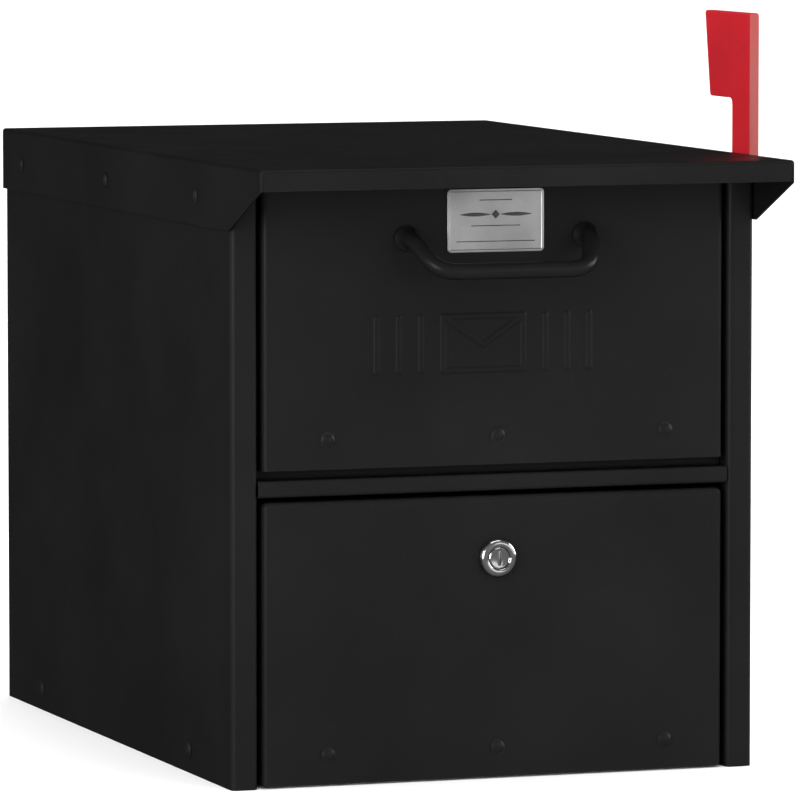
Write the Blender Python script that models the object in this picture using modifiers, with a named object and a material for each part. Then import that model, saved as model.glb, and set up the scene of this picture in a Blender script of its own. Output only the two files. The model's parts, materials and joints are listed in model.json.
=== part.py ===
"""Parcel drop box: a folded-sheet cabinet with a pull-down door, a locked door and a signal flag.

Metres, +Z up. X runs across the front, the doors face -Y, and the origin is the centre of the
cabinet's underside.
"""

import math

import bmesh
import bpy
from mathutils import Matrix, Vector

# Cabinet
BODY_WIDTH = 0.320
BODY_DEPTH = 0.4566
HEIGHT = 0.358  # underside to the top of the hood
SHEET = 0.0012
BEND = 0.0020  # outside radius of a fold
WIDE_BEND = 0.0035  # the same on the walls and the doors
GAP = 0.0003  # between pieces that touch on the real box
STILE_WIDTH = 0.016
STILE_RETURN = 0.012
REAR_FLANGE = 0.014
BASE_FLANGE = 0.020

# Hood
HOOD_FRONT = 0.0584  # how far it stands out in front of the cabinet
HOOD_LIP = 0.0124  # depth of the front flange
HOOD_SKIRT = 0.0376  # depth of the side and rear flanges
HOOD_CORNER = 0.058  # length of the slanted corner, from the front flange back
HOOD_CLEARANCE = 0.0005
HOOD_TOP_GAP = 0.0004

# Doors
DOOR_SHEET = 0.0015
DOOR_SIDE_GAP = 0.0031
DOOR_TOP_GAP = 0.0037
DOOR_EDGE = 0.012  # depth of the folded edges
LOWER_DOOR_BOTTOM = 0.0014
LOWER_DOOR_TOP = 0.1645
UPPER_DOOR_BOTTOM = 0.1825
UPPER_DOOR_TOP = 0.3460
RAIL_BOTTOM = 0.1673
RAIL_TOP = 0.1770

# Hinges: the pin runs just behind the door's skin, a little above the skin's bottom edge
PIN_RISE = 0.0028
PIN_RADIUS = 0.0010
KNUCKLE_RADIUS = 0.0021
KNUCKLES = 7
KNUCKLE_GAP = 0.0006
HINGE_LENGTH = 0.260
LEAF_HEIGHT = 0.022
FIXED_LEAF_DROP = 0.0015  # pin centre to the underside of the fixed leaf
DOOR_RIVET_RISE = 0.0170
DOOR_RIVET_SPACING = 0.1035
DOOR_RIVET_X = 0.0014  # the middle rivet, right of the centre

# Handle
HANDLE_FOOT_X = 0.0545
HANDLE_FOOT_Z = 0.3140
HANDLE_BAR_X = 0.0458
HANDLE_BAR_Z = 0.2965
HANDLE_REACH = 0.032
HANDLE_RADIUS = 0.0047
HANDLE_BEND = 0.012
HANDLE_FOOT_RADIUS = 0.0075
HANDLE_FOOT_HEIGHT = 0.0075

# Name plate and emblem
PLATE_X = -0.0004
PLATE_Z = 0.3234
EMBLEM_X = -0.0076
EMBLEM_Z = 0.2530
EMBLEM_RISE = 0.0008
EMBLEM_LINE = 0.0030
ENVELOPE_HALF_X = 0.0260
ENVELOPE_HALF_Z = 0.0170
EMBLEM_BARS = (0.0380, 0.0515, 0.0650)  # on either side of the envelope

# Lock
LOCK_X = 0.0010
LOCK_Z = 0.1285
LOCK_BEZEL_RADIUS = 0.0113
LOCK_BEZEL_HEIGHT = 0.0045
LOCK_BARREL_RADIUS = 0.0094
LOCK_BARREL_END = 0.0197  # behind the front plane
LOCK_PLUG_RADIUS = 0.00625
CAM_LENGTH = 0.046
CAM_WIDTH = 0.014
CAM_THICKNESS = 0.0020
CAM_SQUARE = 0.0070
CAM_SCREW_RADIUS = 0.0023

# Inside
SHELF_REAR_Y = 0.060
SHELF_REAR_Z = 0.150
SHELF_FLANGE = 0.012
BAFFLE_FRONT_Y = 0.140
BAFFLE_FRONT_Z = 0.098
BAFFLE_REAR_Z = 0.128
BAFFLE_WIDTH = 0.300

# Flag
FLAG_PIVOT_BACK = 0.0315  # behind the front plane
FLAG_PIVOT_Z = 0.3392
FLAG_INNER_X = 0.1642
FLAG_THICKNESS = 0.0058
FLAG_STEM_HALF = 0.0142
FLAG_TOP = 0.1006  # above the pivot
FLAG_BLADE_BOTTOM = 0.0501
FLAG_BLADE_REAR_TOP = 0.0570
FLAG_BLADE_REAR_BOTTOM = 0.0493
FLAG_CORNER = 0.0020
FLAG_BOLT_RADIUS = 0.0030

# Rivets
RIVET_HEAD_RADIUS = 0.0045
RIVET_HEAD_HEIGHT = 0.0016
RIVET_SHANK = 0.0020
RIVET_HOLE = 0.0023
RIVET_TAIL = 0.0031
HOOD_RIVETS_BACK = (0.0606, 0.2376, 0.4146)  # behind the front plane
HOOD_RIVET_Z = 0.337
BASE_RIVETS_BACK = (0.0806, 0.3806)
BASE_RIVET_Z = 0.013

SIDES = 16  # facets of small round pieces
FINE_SIDES = 32

HALF_WIDTH = BODY_WIDTH / 2
FRONT = -BODY_DEPTH / 2
BACK = BODY_DEPTH / 2
ROOF_UNDERSIDE = HEIGHT - SHEET
WALL_TOP = ROOF_UNDERSIDE - HOOD_TOP_GAP
INNER_HALF = HALF_WIDTH - SHEET - GAP
STILE_INNER = HALF_WIDTH - STILE_WIDTH
DOOR_HALF = STILE_INNER - DOOR_SIDE_GAP
RAIL_HALF = STILE_INNER - GAP
HOOD_OUTER = HALF_WIDTH + HOOD_CLEARANCE + SHEET
PIN_Y = FRONT + DOOR_SHEET + GAP + KNUCKLE_RADIUS
UPPER_PIN_Z = UPPER_DOOR_BOTTOM + PIN_RISE
LOWER_PIN_Z = LOWER_DOOR_BOTTOM + PIN_RISE
FORWARD = Vector((0, -1, 0))
RIGHT = Vector((1, 0, 0))


def clear_scene():
    for obj in list(bpy.data.objects):
        bpy.data.objects.remove(obj)


def new_collection(name):
    made = bpy.data.collections.new(name)
    bpy.context.scene.collection.children.link(made)
    return made


def finish(name, colour, roughness, metallic):
    """A Principled material."""
    made = bpy.data.materials.new(name)
    made.use_nodes = True
    shader = made.node_tree.nodes["Principled BSDF"]
    shader.inputs["Base Color"].default_value = (*colour, 1.0)
    shader.inputs["Roughness"].default_value = roughness
    shader.inputs["Metallic"].default_value = metallic
    made.diffuse_color = (*colour, 1.0)
    return made


clear_scene()
PARTS = new_collection("parcel_drop_box")
TOOLS = new_collection("cutters")
POWDER_COAT = finish("powder_coat", (0.016, 0.016, 0.018), 0.42, 0.0)
ZINC = finish("zinc_steel", (0.55, 0.56, 0.57), 0.38, 1.0)
CHROME = finish("chrome", (0.78, 0.78, 0.79), 0.12, 1.0)
PLATE_METAL = finish("plate_metal", (0.62, 0.63, 0.64), 0.30, 1.0)
RED_PLASTIC = finish("red_plastic", (0.50, 0.013, 0.024), 0.38, 0.0)
BLACK_PLASTIC = finish("black_plastic", (0.03, 0.03, 0.03), 0.55, 0.0)
NYLON = finish("nylon", (0.75, 0.74, 0.70), 0.50, 0.0)
FERRITE = finish("ferrite", (0.06, 0.06, 0.065), 0.60, 0.0)


def pivot(name, location):
    """An empty on a joint's axis, which carries the pieces that turn about it."""
    empty = bpy.data.objects.new(name, None)
    empty.location = location
    PARTS.objects.link(empty)
    return empty


def carry(piece, parent):
    """Hangs a piece that is placed in the world on its joint's empty."""
    if parent is not None:
        piece.parent = parent
        piece.matrix_parent_inverse = Matrix.Translation(-parent.location)


def add_piece(name, mesh, material, parent=None, location=(0, 0, 0)):
    mesh.materials.append(material)
    piece = bpy.data.objects.new(name, mesh)
    piece.location = location
    PARTS.objects.link(piece)
    carry(piece, parent)
    return piece


def mesh_from(name, bm):
    mesh = bpy.data.meshes.new(name)
    bm.to_mesh(mesh)
    bm.free()
    mesh.shade_smooth()
    mesh.set_sharp_from_angle(angle=math.radians(30))
    return mesh


def add_box(bm, low, high):
    low, high = Vector(low), Vector(high)
    shape = Matrix.Translation((low + high) / 2) @ Matrix.Diagonal((*(high - low), 1))
    bmesh.ops.create_cube(bm, size=1, matrix=shape)


def add_rod(bm, start, end, radius, sides=SIDES, end_radius=None):
    start, end = Vector(start), Vector(end)
    turn = Vector((0, 0, 1)).rotation_difference(end - start).to_matrix().to_4x4()
    bmesh.ops.create_cone(
        bm,
        cap_ends=True,
        segments=sides,
        radius1=radius,
        radius2=radius if end_radius is None else end_radius,
        depth=(end - start).length,
        matrix=Matrix.Translation((start + end) / 2) @ turn,
    )


def combine(piece, operation, fill):
    """Cuts from a piece, or joins to it, the solids that fill(bm) makes."""
    bm = bmesh.new()
    fill(bm)
    helper = bpy.data.objects.new(f"{piece.name}_{operation.lower()}", mesh_from("tool", bm))
    helper.hide_render = True
    helper.display_type = "WIRE"
    TOOLS.objects.link(helper)
    modifier = piece.modifiers.new(operation.title(), "BOOLEAN")
    modifier.operation = operation
    modifier.object = helper
    modifier.use_self = operation == "UNION"


def drill(piece, places, direction, radius, reach=0.006, sides=SIDES):
    """Round holes through a sheet, each centred on its place and running along direction."""

    def fill(bm):
        for place in places:
            middle = Vector(place)
            add_rod(bm, middle - direction * reach, middle + direction * reach, radius, sides)

    combine(piece, "DIFFERENCE", fill)


def block(name, low, high, material, parent=None):
    low, high = Vector(low), Vector(high)
    bm = bmesh.new()
    add_box(bm, (low - high) / 2, (high - low) / 2)
    return add_piece(name, mesh_from(name, bm), material, parent, (low + high) / 2)


def round_folds(piece, radius, segments=2):
    bevel = piece.modifiers.new("Folds", "BEVEL")
    bevel.width = radius
    bevel.segments = segments
    bevel.limit_method = "ANGLE"
    bevel.angle_limit = math.radians(35)


def thicken(piece, thickness):
    """Gives an open surface its sheet thickness, measured inwards from its outer face."""
    solidify = piece.modifiers.new("Thickness", "SOLIDIFY")
    solidify.thickness = thickness
    solidify.offset = -1
    solidify.use_even_offset = True


def folded_sheet(name, outline, along, start, end, outside, bend=BEND):
    """A bent sheet. Its outer face follows the open outline, drawn in the plane across the
    fold lines, and outside is the way the outline's first stretch faces."""
    if along == "X":
        points = [Vector((start, a, b)) for a, b in outline]
        run = Vector((end - start, 0, 0))
    else:
        points = [Vector((a, b, start)) for a, b in outline]
        run = Vector((0, 0, end - start))
    bm = bmesh.new()
    row = [bm.verts.new(point) for point in points]
    edges = [bm.edges.new(pair) for pair in zip(row, row[1:])]
    grown = bmesh.ops.extrude_edge_only(bm, edges=edges)["geom"]
    far_row = [item for item in grown if isinstance(item, bmesh.types.BMVert)]
    bmesh.ops.translate(bm, verts=far_row, vec=run)
    bmesh.ops.recalc_face_normals(bm, faces=bm.faces)
    bm.faces.ensure_lookup_table()
    first = next(face for face in bm.faces if row[0] in face.verts)
    first.normal_update()
    if first.normal.dot(Vector(outside)) < 0:
        bmesh.ops.reverse_faces(bm, faces=bm.faces)
    piece = add_piece(name, mesh_from(name, bm), POWDER_COAT)
    round_folds(piece, bend)
    thicken(piece, SHEET)
    return piece


def pan(name, low, high, open_faces, sheet, bend=BEND, parent=None):
    """A box folded from one sheet, with the faces that look along open_faces left out."""
    low, high = Vector(low), Vector(high)
    bm = bmesh.new()
    add_box(bm, (low - high) / 2, (high - low) / 2)
    bm.normal_update()
    ways = [Vector(way) for way in open_faces]
    gone = [face for face in bm.faces if any(face.normal.dot(way) > 0.9 for way in ways)]
    bmesh.ops.delete(bm, geom=gone, context="FACES")
    piece = add_piece(name, mesh_from(name, bm), POWDER_COAT, parent, (low + high) / 2)
    round_folds(piece, bend)
    thicken(piece, sheet)
    return piece


def turned(name, profile, place, facing, material, parent=None, closed=False, sides=SIDES):
    """A round piece. Its profile lists (radius, height) down the outer side, and height is
    measured from place along facing. A closed profile leaves a bore."""
    bm = bmesh.new()
    row = [bm.verts.new((radius, 0, height)) for radius, height in profile]
    for pair in zip(row, row[1:]):
        bm.edges.new(pair)
    if closed:
        bm.edges.new((row[-1], row[0]))
    mesh = bpy.data.meshes.new(name)
    bm.to_mesh(mesh)
    bm.free()
    piece = add_piece(name, mesh, material, None, place)
    piece.rotation_euler = Vector((0, 0, 1)).rotation_difference(facing).to_euler()
    carry(piece, parent)
    screw = piece.modifiers.new("Turn", "SCREW")
    screw.axis = "Z"
    screw.steps = sides
    screw.render_steps = sides
    screw.use_merge_vertices = True
    screw.merge_threshold = 0.00001
    screw.use_smooth_shade = True
    return piece


def flat_plate(name, outlines, thickness, place, rotation, material, parent=None):
    """A flat piece cut to its outer outline, with any further outlines as holes."""
    curve = bpy.data.curves.new(name, "CURVE")
    curve.dimensions = "2D"
    curve.fill_mode = "BOTH"
    curve.extrude = thickness / 2
    for outline in outlines:
        spline = curve.splines.new("POLY")
        spline.points.add(len(outline) - 1)
        for point, (a, b) in zip(spline.points, outline):
            point.co = (a, b, 0, 1)
        spline.use_cyclic_u = True
    curve.materials.append(material)
    piece = bpy.data.objects.new(name, curve)
    piece.location = place
    piece.rotation_euler = rotation
    PARTS.objects.link(piece)
    carry(piece, parent)
    return piece


def arc(centre, radius, start, end, steps):
    """Points along an arc, from one angle to the other in degrees."""
    points = []
    for step in range(steps + 1):
        angle = math.radians(start + (end - start) * step / steps)
        points.append((centre[0] + radius * math.cos(angle), centre[1] + radius * math.sin(angle)))
    return points


def rounded_route(points, radius, steps):
    """An open route through points, with each corner between them rounded."""
    route = [Vector(points[0])]
    for before, corner, after in zip(points, points[1:], points[2:]):
        corner = Vector(corner)
        start = corner + (Vector(before) - corner).normalized() * radius
        end = corner + (Vector(after) - corner).normalized() * radius
        for step in range(steps + 1):
            t = step / steps
            route.append(start.lerp(corner, t).lerp(corner.lerp(end, t), t))
    route.append(Vector(points[-1]))
    return route


def tube_mesh(name, route, radius):
    """A round bar along a route, as a closed mesh."""
    curve = bpy.data.curves.new(name, "CURVE")
    curve.dimensions = "3D"
    curve.bevel_depth = radius
    curve.bevel_resolution = 3
    curve.use_fill_caps = True
    spline = curve.splines.new("POLY")
    spline.points.add(len(route) - 1)
    for point, place in zip(spline.points, route):
        point.co = (*place, 1)
    guide = bpy.data.objects.new(name, curve)
    PARTS.objects.link(guide)
    bpy.context.view_layer.update()
    evaluated = guide.evaluated_get(bpy.context.evaluated_depsgraph_get())
    mesh = bpy.data.meshes.new_from_object(evaluated)
    bpy.data.objects.remove(guide)
    bm = bmesh.new()
    bm.from_mesh(mesh)
    bmesh.ops.remove_doubles(bm, verts=bm.verts, dist=0.00001)
    bpy.data.meshes.remove(mesh)
    return mesh_from(name, bm)


def rivet(name, place, facing, grip, parent=None):
    """A domed rivet. Place is under its head, and grip is the thickness it holds."""
    profile = [
        (0, RIVET_HEAD_HEIGHT),
        (RIVET_HEAD_RADIUS * 0.7, RIVET_HEAD_HEIGHT * 0.7),
        (RIVET_HEAD_RADIUS, 0),
        (RIVET_SHANK, 0),
        (RIVET_SHANK, -grip),
        (RIVET_TAIL, -grip),
        (RIVET_TAIL * 0.8, -grip - 0.0012),
        (0, -grip - 0.0015),
    ]
    return turned(name, profile, place, facing, POWDER_COAT, parent, sides=12)


# Cabinet shell


def side_panel(name, side):
    """One wall, with its rear flange, front stile and the stile's return."""
    outline = [
        (side * (HALF_WIDTH - REAR_FLANGE), BACK),
        (side * HALF_WIDTH, BACK),
        (side * HALF_WIDTH, FRONT),
        (side * STILE_INNER, FRONT),
        (side * STILE_INNER, FRONT + STILE_RETURN),
    ]
    panel = folded_sheet(name, outline, "Z", 0, WALL_TOP, (0, 1, 0), WIDE_BEND)
    wall = side * (HALF_WIDTH - SHEET / 2)
    holes = [(wall, FRONT + back, HOOD_RIVET_Z) for back in HOOD_RIVETS_BACK]
    holes += [(wall, FRONT + back, BASE_RIVET_Z) for back in BASE_RIVETS_BACK]
    drill(panel, holes, RIGHT, RIVET_HOLE)
    return panel


def back_panel():
    half = INNER_HALF - WIDE_BEND / 2  # clear of the walls' rear folds
    outer = BACK - SHEET - GAP
    return block(
        "back_panel", (-half, outer - SHEET, GAP), (half, outer, WALL_TOP), POWDER_COAT
    )


def bottom_panel():
    """The floor, with side and rear flanges turned up and a raised front edge, where the lower
    hinge sits. Four holes take the bolts of a post or stand."""
    rear = BACK - 2 * (SHEET + GAP)
    seat = LOWER_PIN_Z - FIXED_LEAF_DROP - GAP - SHEET
    edge = FRONT + STILE_RETURN + GAP
    outline = [(rear, BASE_FLANGE), (rear, 0), (edge + 0.024, 0), (edge + 0.018, seat), (edge, seat)]
    panel = folded_sheet("bottom_panel", outline, "X", -INNER_HALF, INNER_HALF, (0, 1, 0))
    front = edge + 0.026

    def flanges(bm):
        for side in (-1, 1):
            inner, outer = sorted((side * INNER_HALF, side * (INNER_HALF - SHEET)))
            add_box(bm, (inner, front, SHEET / 2), (outer, rear - WIDE_BEND, BASE_FLANGE))

    combine(panel, "UNION", flanges)
    for side in (-1, 1):
        wall = side * (INNER_HALF - SHEET / 2)
        holes = [(wall, FRONT + back, BASE_RIVET_Z) for back in BASE_RIVETS_BACK]
        drill(panel, holes, RIGHT, RIVET_HOLE, reach=0.004)
    bolts = [(x, y, SHEET / 2) for x in (-0.060, 0.060) for y in (-0.090, 0.090)]
    drill(panel, bolts, Vector((0, 0, 1)), 0.0035, reach=0.004)
    return panel


def hood():
    """The roof, with flanges all round. The side flanges run out to the front in a slant."""
    front = FRONT - HOOD_FRONT
    rear = BACK + HOOD_CLEARANCE + SHEET
    low = (-HOOD_OUTER, front, HEIGHT - HOOD_SKIRT)
    roof = pan("hood", low, (HOOD_OUTER, rear, HEIGHT), [(0, 0, -1)], SHEET)
    lip = HEIGHT - HOOD_LIP
    corner = (front + HOOD_CORNER, HEIGHT - HOOD_SKIRT)
    slope = (lip - corner[1]) / (front - corner[0])
    ahead = front - 0.010
    outline = [
        (corner[0] + 0.010, corner[1] - 0.010),
        corner,
        (front, lip),
        (ahead, lip),
        (ahead, corner[1] - 0.010),
    ]
    outline[0] = (corner[0] - 0.010 / slope, corner[1] - 0.010)

    def wedge(bm):
        span = HOOD_OUTER + 0.010
        face = bm.faces.new([bm.verts.new((-span, a, b)) for a, b in outline])
        grown = bmesh.ops.extrude_face_region(bm, geom=[face])["geom"]
        far = [item for item in grown if isinstance(item, bmesh.types.BMVert)]
        bmesh.ops.translate(bm, verts=far, vec=(2 * span, 0, 0))
        bmesh.ops.recalc_face_normals(bm, faces=bm.faces)

    combine(roof, "DIFFERENCE", wedge)
    for side in (-1, 1):
        wall = side * (HOOD_OUTER - SHEET / 2)
        holes = [(wall, FRONT + back, HOOD_RIVET_Z) for back in HOOD_RIVETS_BACK]
        drill(roof, holes, RIGHT, RIVET_HOLE)
    return roof


def header_rail():
    """The rail over the upper door, whose rear leg stops the door and holds the magnet."""
    leg = FRONT + STILE_WIDTH
    under = UPPER_DOOR_TOP + DOOR_TOP_GAP
    outline = [(FRONT, WALL_TOP), (FRONT, under), (leg, under), (leg, under - 0.0275)]
    return folded_sheet("header_rail", outline, "X", -RAIL_HALF, RAIL_HALF, (0, -1, 0))


def centre_rail():
    """The rail between the doors. The lock's cam catches its lower flange, and the raised
    flange behind carries the upper hinge."""
    seat = UPPER_PIN_Z - FIXED_LEAF_DROP - GAP
    step = FRONT + 0.0125
    outline = [
        (FRONT + 0.0195, RAIL_BOTTOM),
        (FRONT, RAIL_BOTTOM),
        (FRONT, RAIL_TOP),
        (step, RAIL_TOP),
        (step, seat),
        (FRONT + 0.0280, seat),
    ]
    return folded_sheet("centre_rail", outline, "X", -RAIL_HALF, RAIL_HALF, (0, 0, -1))


def drop_shelf():
    """The sloping shelf under the upper door. Parcels slide off its rear edge."""
    front = (FRONT + 0.0296, UPPER_PIN_Z - 0.0015)
    rear = (SHELF_REAR_Y, SHELF_REAR_Z)
    outline = [front, rear, (SHELF_REAR_Y, SHELF_REAR_Z - SHELF_FLANGE)]
    shelf = folded_sheet("drop_shelf", outline, "X", -INNER_HALF, INNER_HALF, (0, 0, 1))
    run = Vector((0, rear[0] - front[0], rear[1] - front[1]))
    tilt = Matrix.Rotation(math.atan2(run.z, run.y), 4, "X")
    start = Vector((0, *front))

    def flanges(bm):
        for side in (-1, 1):
            inner, outer = sorted((side * INNER_HALF, side * (INNER_HALF - SHEET)))
            fresh = len(bm.verts)
            add_box(bm, (inner, 0.004, -SHELF_FLANGE), (outer, run.length - 0.004, -SHEET / 2))
            bm.verts.ensure_lookup_table()
            new = bm.verts[fresh:]
            bmesh.ops.transform(bm, verts=new, matrix=Matrix.Translation(start) @ tilt)

    combine(shelf, "UNION", flanges)
    return shelf


def reach_baffle():
    """A plate sloping down from the back wall, which keeps a hand from reaching the parcels."""
    wall = BACK - 2 * (SHEET + GAP) - GAP
    top = BAFFLE_REAR_Z + 0.022
    outline = [(wall, top), (wall, BAFFLE_REAR_Z), (BAFFLE_FRONT_Y, BAFFLE_FRONT_Z)]
    half = BAFFLE_WIDTH / 2
    return folded_sheet("reach_baffle", outline, "X", -half, half, (0, 1, 0))


# Hinges


def knuckle_spans(moving):
    """The stretches along X of one leaf's knuckles. The two leaves take turns."""
    pitch = HINGE_LENGTH / KNUCKLES
    start = -HINGE_LENGTH / 2
    for index in range(1 if moving else 0, KNUCKLES, 2):
        yield (
            start + index * pitch + KNUCKLE_GAP / 2,
            start + (index + 1) * pitch - KNUCKLE_GAP / 2,
        )


def hinge_leaf(name, pin_z, moving, parent=None):
    """One leaf with its knuckles. The moving leaf stands up behind the door's skin, and the
    fixed leaf lies back over its seat."""
    half = HINGE_LENGTH / 2
    if moving:
        face = PIN_Y - KNUCKLE_RADIUS
        low, high = (-half, face, pin_z), (half, face + SHEET, pin_z + LEAF_HEIGHT)
    else:
        under = pin_z - FIXED_LEAF_DROP
        low, high = (-half, PIN_Y, under), (half, PIN_Y + LEAF_HEIGHT, under + SHEET)
    leaf = block(name, low, high, ZINC, parent)

    def barrel(spans, radius, extra):
        def fill(bm):
            for start, end in spans:
                ends = [(x, PIN_Y, pin_z) for x in (start - extra, end + extra)]
                add_rod(bm, *ends, radius, 12)

        return fill

    room = KNUCKLE_GAP + 0.0002
    combine(leaf, "DIFFERENCE", barrel(knuckle_spans(not moving), KNUCKLE_RADIUS + GAP, room))
    combine(leaf, "UNION", barrel(knuckle_spans(moving), KNUCKLE_RADIUS, 0))
    combine(leaf, "DIFFERENCE", barrel([(-half, half)], PIN_RADIUS + GAP, 0.002))
    if moving:
        drill(leaf, door_rivet_places(pin_z - PIN_RISE), FORWARD, RIVET_HOLE)
    return leaf


def hinge_pin(name, pin_z):
    half = HINGE_LENGTH / 2
    profile = [(0, 2 * half), (PIN_RADIUS, 2 * half), (PIN_RADIUS, 0), (0, 0)]
    return turned(name, profile, (-half, PIN_Y, pin_z), RIGHT, ZINC)


def door_rivet_places(door_bottom):
    height = door_bottom + DOOR_RIVET_RISE
    return [(DOOR_RIVET_X + index * DOOR_RIVET_SPACING, FRONT, height) for index in (-1, 0, 1)]


# Doors


def door_panel(name, bottom, top, parent):
    """A door's skin, with its top and side edges folded back."""
    low = (-DOOR_HALF, FRONT, bottom)
    high = (DOOR_HALF, FRONT + DOOR_EDGE, top)
    panel = pan(name, low, high, [(0, 1, 0), (0, 0, -1)], DOOR_SHEET, WIDE_BEND, parent)
    drill(panel, door_rivet_places(bottom), FORWARD, RIVET_HOLE)
    return panel


def door_rivets(prefix, bottom, parent):
    names = ("left", "middle", "right")
    grip = DOOR_SHEET + SHEET + 3 * GAP
    for which, (x, y, z) in zip(names, door_rivet_places(bottom)):
        rivet(f"{prefix}_rivet_{which}", (x, y - GAP, z), FORWARD, grip, parent)


def upper_door(parent):
    panel = door_panel("upper_door_panel", UPPER_DOOR_BOTTOM, UPPER_DOOR_TOP, parent)
    feet = [(side * HANDLE_FOOT_X, FRONT, HANDLE_FOOT_Z) for side in (-1, 1)]
    drill(panel, feet, FORWARD, 0.0023)
    combine(panel, "UNION", envelope_emblem)
    hinge_leaf("upper_door_hinge_leaf", UPPER_PIN_Z, True, parent)
    door_rivets("upper_door", UPPER_DOOR_BOTTOM, parent)
    door_handle(parent)
    name_plate(parent)
    strike_plate(parent)


def envelope_emblem(bm):
    """A raised outline of an envelope between two sets of upright bars, pressed out of the
    skin."""
    root, front = FRONT + 0.0007, FRONT - EMBLEM_RISE
    half = EMBLEM_LINE / 2
    low_z, high_z = EMBLEM_Z - ENVELOPE_HALF_Z, EMBLEM_Z + ENVELOPE_HALF_Z
    left, right = EMBLEM_X - ENVELOPE_HALF_X, EMBLEM_X + ENVELOPE_HALF_X
    for side, edge in ((-1, left), (1, right)):
        inner, outer = sorted((edge, edge - side * EMBLEM_LINE))
        add_box(bm, (inner, front, low_z + half), (outer, root, high_z - half))
        for offset in EMBLEM_BARS:
            x = EMBLEM_X + side * offset
            add_box(bm, (x - half, front, low_z), (x + half, root, high_z))
        z = EMBLEM_Z + side * (ENVELOPE_HALF_Z - half)
        add_box(bm, (left, front + 0.0001, z - half), (right, root, z + half))
        start = Vector((edge - side * EMBLEM_LINE, (front + root) / 2, high_z - EMBLEM_LINE))
        end = Vector((EMBLEM_X, start.y, EMBLEM_Z - 0.001))
        fresh = len(bm.verts)
        reach = ((end - start).length + EMBLEM_LINE * 0.8) / 2
        add_box(bm, (-reach, front + 0.0002, -half), (reach, root + 0.0001, half))
        bm.verts.ensure_lookup_table()
        angle = math.atan2(end.z - start.z, end.x - start.x)
        middle = (start + end) / 2
        turn = Matrix.Translation((middle.x, 0, middle.z)) @ Matrix.Rotation(-angle, 4, "Y")
        bmesh.ops.transform(bm, verts=bm.verts[fresh:], matrix=turn)


def door_handle(parent):
    """A cast pull: a round bar whose arms drop from two flared feet."""
    base = FRONT - GAP
    bar_y = FRONT - HANDLE_REACH
    corners = [
        (-HANDLE_FOOT_X, base - 0.0005, HANDLE_FOOT_Z),
        (-HANDLE_FOOT_X, base - 0.0100, HANDLE_FOOT_Z),
        (-HANDLE_BAR_X, bar_y, HANDLE_BAR_Z),
    ]
    corners += [(-x, y, z) for x, y, z in reversed(corners)]
    route = [Vector(corners[0])]
    radii = (0.006, HANDLE_BEND, HANDLE_BEND, 0.006)
    for index, radius in enumerate(radii):
        before, corner, after = (Vector(corners[index + step]) for step in range(3))
        route += rounded_route((before, corner, after), radius, 4)[1:-1]
    route.append(Vector(corners[-1]))
    handle = add_piece("door_handle", tube_mesh("door_handle", route, HANDLE_RADIUS), POWDER_COAT, parent)

    def feet(bm):
        for side in (-1, 1):
            start = Vector((side * HANDLE_FOOT_X, base, HANDLE_FOOT_Z))
            rim = start + FORWARD * 0.002
            neck = start + FORWARD * HANDLE_FOOT_HEIGHT
            add_rod(bm, start, rim + FORWARD * 0.0001, HANDLE_FOOT_RADIUS)
            add_rod(bm, rim, neck, HANDLE_FOOT_RADIUS * 0.98, SIDES, HANDLE_RADIUS * 1.02)

    combine(handle, "UNION", feet)

    def threads(bm):
        for side in (-1, 1):
            mouth = Vector((side * HANDLE_FOOT_X, base + 0.002, HANDLE_FOOT_Z))
            add_rod(bm, mouth, mouth + FORWARD * 0.0105, 0.0022)

    combine(handle, "DIFFERENCE", threads)
    inside = FRONT + DOOR_SHEET + GAP
    profile = [(0, 0.0095), (0.0019, 0.0095), (0.0019, 0), (0.0040, 0), (0.0036, -0.0022), (0, -0.0026)]
    for which, side in (("left", -1), ("right", 1)):
        place = (side * HANDLE_FOOT_X, inside, HANDLE_FOOT_Z)
        turned(f"handle_screw_{which}", profile, place, FORWARD, ZINC, parent)


def name_plate(parent):
    """A blank plate with rounded corners, stuck to the door above the handle."""
    half_x, half_z, corner = 0.0295, 0.0182, 0.0022
    outline = []
    for index, (a, b) in enumerate(((1, 1), (-1, 1), (-1, -1), (1, -1))):
        centre = (a * (half_x - corner), b * (half_z - corner))
        outline += arc(centre, corner, 90 * index, 90 * index + 90, 4)
    place = (PLATE_X, FRONT - GAP - 0.0005, PLATE_Z)
    upright = (math.radians(90), 0, 0)
    flat_plate("name_plate", [outline], 0.0010, place, upright, PLATE_METAL, parent)


def strike_plate(parent):
    """The steel plate inside the upper door that the magnet holds."""
    face = FRONT + DOOR_SHEET + GAP
    block("strike_plate", (-0.020, face, 0.325), (0.020, face + SHEET, 0.340), ZINC, parent)


def magnetic_catch():
    """The catch under the header rail: a plastic housing with a magnet let into its face."""
    leg = FRONT + STILE_WIDTH - GAP
    face = FRONT + DOOR_SHEET + GAP + SHEET + 0.0005
    housing = block("magnet_housing", (-0.022, face, 0.324), (0.022, leg, 0.341), BLACK_PLASTIC)
    depth = 0.0050

    def pocket(bm):
        add_box(bm, (-0.015, face - 0.002, 0.3280), (0.015, face + depth, 0.3370))

    combine(housing, "DIFFERENCE", pocket)
    low = (-0.015 + GAP, face - 0.0001, 0.3280 + GAP)
    high = (0.015 - GAP, face + depth - GAP, 0.3370 - GAP)
    block("magnet", low, high, FERRITE)


def lower_door(parent):
    panel = door_panel("lower_door_panel", LOWER_DOOR_BOTTOM, LOWER_DOOR_TOP, parent)
    hole = LOCK_BARREL_RADIUS + GAP
    drill(panel, [(LOCK_X, FRONT, LOCK_Z)], FORWARD, hole, sides=FINE_SIDES)
    hinge_leaf("lower_door_hinge_leaf", LOWER_PIN_Z, True, parent)
    door_rivets("lower_door", LOWER_DOOR_BOTTOM, parent)
    lock_housing(parent)
    lock_nut(parent)


# Lock


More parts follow.
